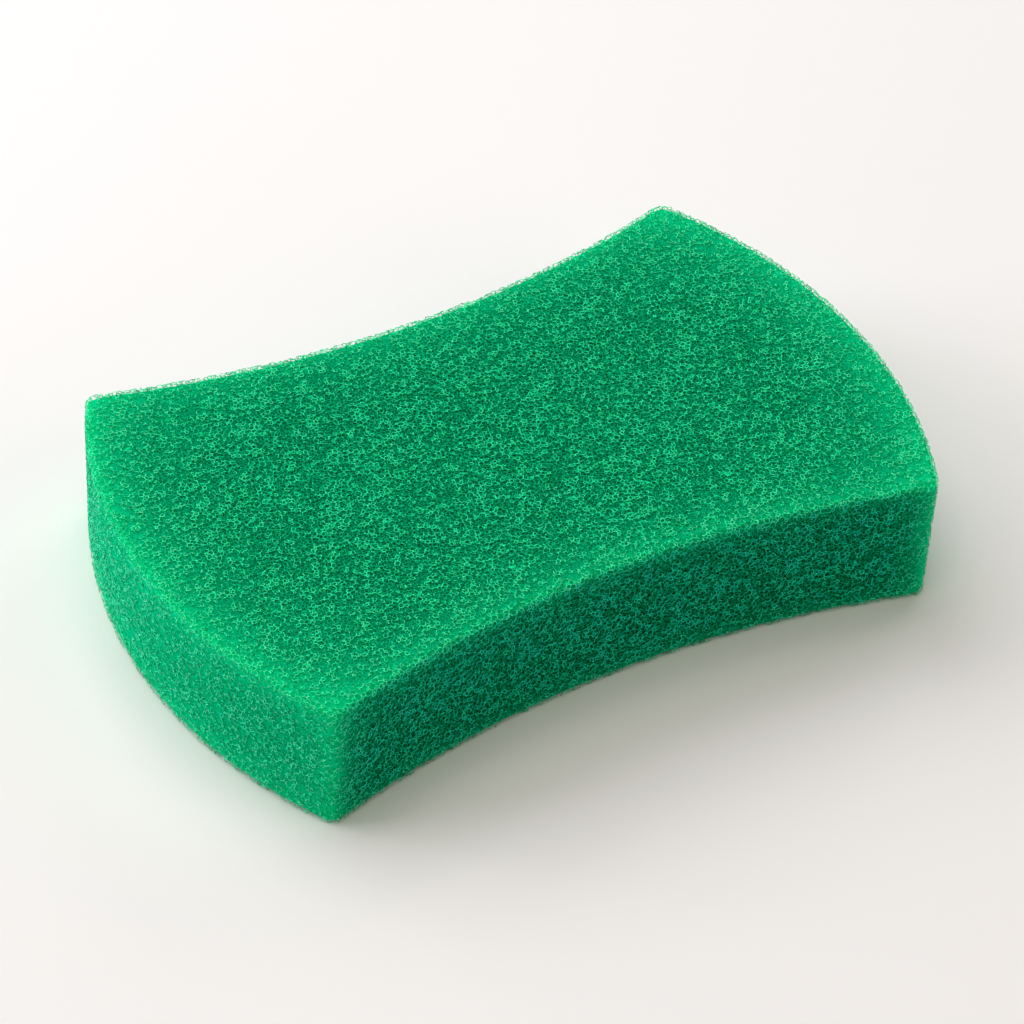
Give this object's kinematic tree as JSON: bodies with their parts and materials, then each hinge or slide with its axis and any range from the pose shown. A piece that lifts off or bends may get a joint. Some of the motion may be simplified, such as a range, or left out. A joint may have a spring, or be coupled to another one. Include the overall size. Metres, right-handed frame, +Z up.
{
  "type": "cleaning sponge",
  "caption": "Thick slab of coarse open-cell foam with bowed ends and waisted long sides, held in the hand for washing and scrubbing.",
  "frame": {"origin": "middle of the underside, on the surface that the sponge rests on", "axes": "+X along the length from one bowed end to the other, +Y across the waist, +Z up through the thickness"},
  "size_m": [0.15, 0.094, 0.027],
  "materials": {
    "foam": "open-cell foam, soft satin struts"
  },
  "bodies": {
    "root": {"sponge": "foam"}
  },
  "joints": []
}
